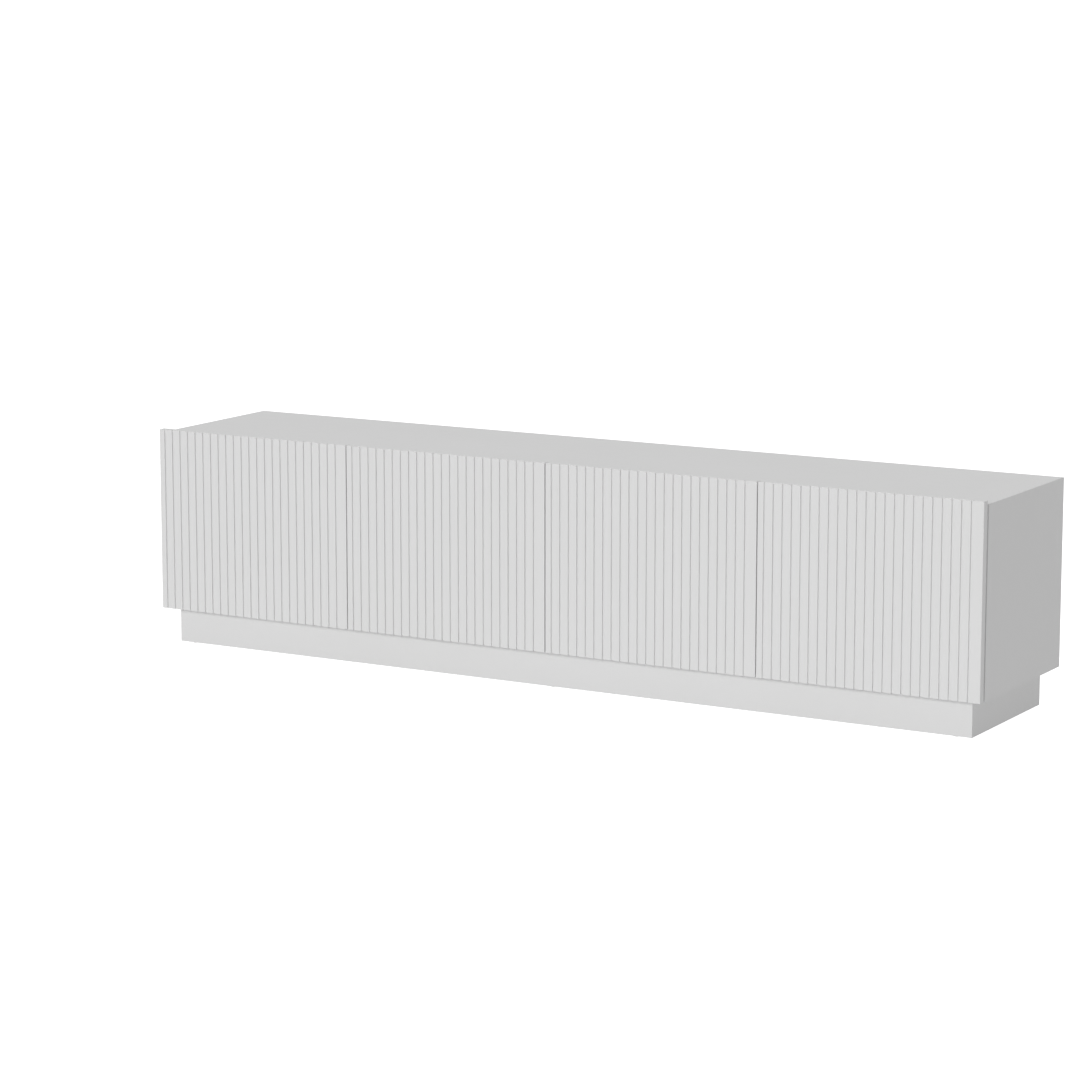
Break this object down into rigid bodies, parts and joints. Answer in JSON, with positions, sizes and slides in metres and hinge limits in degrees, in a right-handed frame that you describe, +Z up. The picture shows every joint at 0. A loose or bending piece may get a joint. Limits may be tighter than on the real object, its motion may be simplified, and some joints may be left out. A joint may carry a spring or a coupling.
{
  "type": "tv stand with doors",
  "caption": "Long low TV bench on a set-back plinth, with fluted handleless doors on concealed hinges, a shelf in each compartment and cable holes in the back.",
  "frame": {"origin": "on the floor, under the middle of the whole bench, doors included", "axes": "+X along the bench to the right as seen from the front, +Y from the doors to the back, +Z up"},
  "size_m": [2, 0.415, 0.488],
  "materials": {
    "lacquer": "white satin-matt lacquer on wood board",
    "melamine": "white melamine-faced chipboard",
    "back_board": "white printed fibreboard, matt",
    "steel": "nickel-plated pressed steel",
    "glide": "moulded plastic",
    "bumper": "translucent soft rubber"
  },
  "bodies": {
    "cabinet": {"top_panel": "lacquer", "bottom_panel": "melamine", "left_side_panel": "lacquer", "right_side_panel": "lacquer", "centre_divider": "melamine", "back_panel_left": "back_board", "back_panel_right": "back_board", "shelf_left": "melamine", "shelf_right": "melamine", "plinth_front": "lacquer", "plinth_back": "lacquer", "plinth_left": "lacquer", "plinth_right": "lacquer", "plinth_centre_rail": "lacquer", "glide_front_left": "glide", "glide_front_middle": "glide", "glide_front_right": "glide", "glide_back_left": "glide", "glide_back_middle": "glide", "glide_back_right": "glide", "shelf_pin_left_1": "steel", "shelf_pin_left_2": "steel", "shelf_pin_left_3": "steel", "shelf_pin_left_4": "steel", "shelf_pin_right_1": "steel", "shelf_pin_right_2": "steel", "shelf_pin_right_3": "steel", "shelf_pin_right_4": "steel", "hinge_arm_1_low": "steel", "hinge_arm_1_high": "steel", "hinge_arm_2_low": "steel", "hinge_arm_2_high": "steel", "hinge_arm_3_low": "steel", "hinge_arm_3_high": "steel", "hinge_arm_4_low": "steel", "hinge_arm_4_high": "steel"},
    "door_1": {"door_1": "lacquer", "hinge_cup_1_low": "steel", "hinge_cup_1_high": "steel", "door_bumper_1": "bumper"},
    "door_1_links": {"hinge_link_1_low": "steel", "hinge_link_1_high": "steel"},
    "door_2": {"door_2": "lacquer", "hinge_cup_2_low": "steel", "hinge_cup_2_high": "steel", "door_bumper_2": "bumper"},
    "door_2_links": {"hinge_link_2_low": "steel", "hinge_link_2_high": "steel"},
    "door_3": {"door_3": "lacquer", "hinge_cup_3_low": "steel", "hinge_cup_3_high": "steel", "door_bumper_3": "bumper"},
    "door_3_links": {"hinge_link_3_low": "steel", "hinge_link_3_high": "steel"},
    "door_4": {"door_4": "lacquer", "hinge_cup_4_low": "steel", "hinge_cup_4_high": "steel", "door_bumper_4": "bumper"},
    "door_4_links": {"hinge_link_4_low": "steel", "hinge_link_4_high": "steel"}
  },
  "joints": [
    {"name": "door_1_swing", "type": "hinge", "parent": "cabinet", "child": "door_1", "pos_m": [-0.991, -0.2031, 0.284], "axis": [0, 0, -1], "range_deg": [0, 100]},
    {"name": "door_1_link_turn", "type": "hinge", "parent": "cabinet", "child": "door_1_links", "pos_m": [-0.9675, -0.187, 0.284], "axis": [0, 0, -1], "range_deg": [-28.5, 0.5]},
    {"name": "door_2_swing", "type": "hinge", "parent": "cabinet", "child": "door_2", "pos_m": [-0.0085, -0.2031, 0.284], "axis": [0, 0, 1], "range_deg": [0, 90]},
    {"name": "door_2_link_turn", "type": "hinge", "parent": "cabinet", "child": "door_2_links", "pos_m": [-0.032, -0.187, 0.284], "axis": [0, 0, 1], "range_deg": [-25.5, 0.5]},
    {"name": "door_3_swing", "type": "hinge", "parent": "cabinet", "child": "door_3", "pos_m": [0.0085, -0.2031, 0.284], "axis": [0, 0, -1], "range_deg": [0, 90]},
    {"name": "door_3_link_turn", "type": "hinge", "parent": "cabinet", "child": "door_3_links", "pos_m": [0.032, -0.187, 0.284], "axis": [0, 0, -1], "range_deg": [-25.5, 0.5]},
    {"name": "door_4_swing", "type": "hinge", "parent": "cabinet", "child": "door_4", "pos_m": [0.991, -0.2031, 0.284], "axis": [0, 0, 1], "range_deg": [0, 100]},
    {"name": "door_4_link_turn", "type": "hinge", "parent": "cabinet", "child": "door_4_links", "pos_m": [0.9675, -0.187, 0.284], "axis": [0, 0, 1], "range_deg": [-28.5, 0.5]}
  ],
  "couplings": [
    {"joint": "door_1_link_turn", "follows": "door_1_swing", "ratio": -0.277},
    {"joint": "door_2_link_turn", "follows": "door_2_swing", "ratio": -0.277},
    {"joint": "door_3_link_turn", "follows": "door_3_swing", "ratio": -0.277},
    {"joint": "door_4_link_turn", "follows": "door_4_swing", "ratio": -0.277}
  ]
}
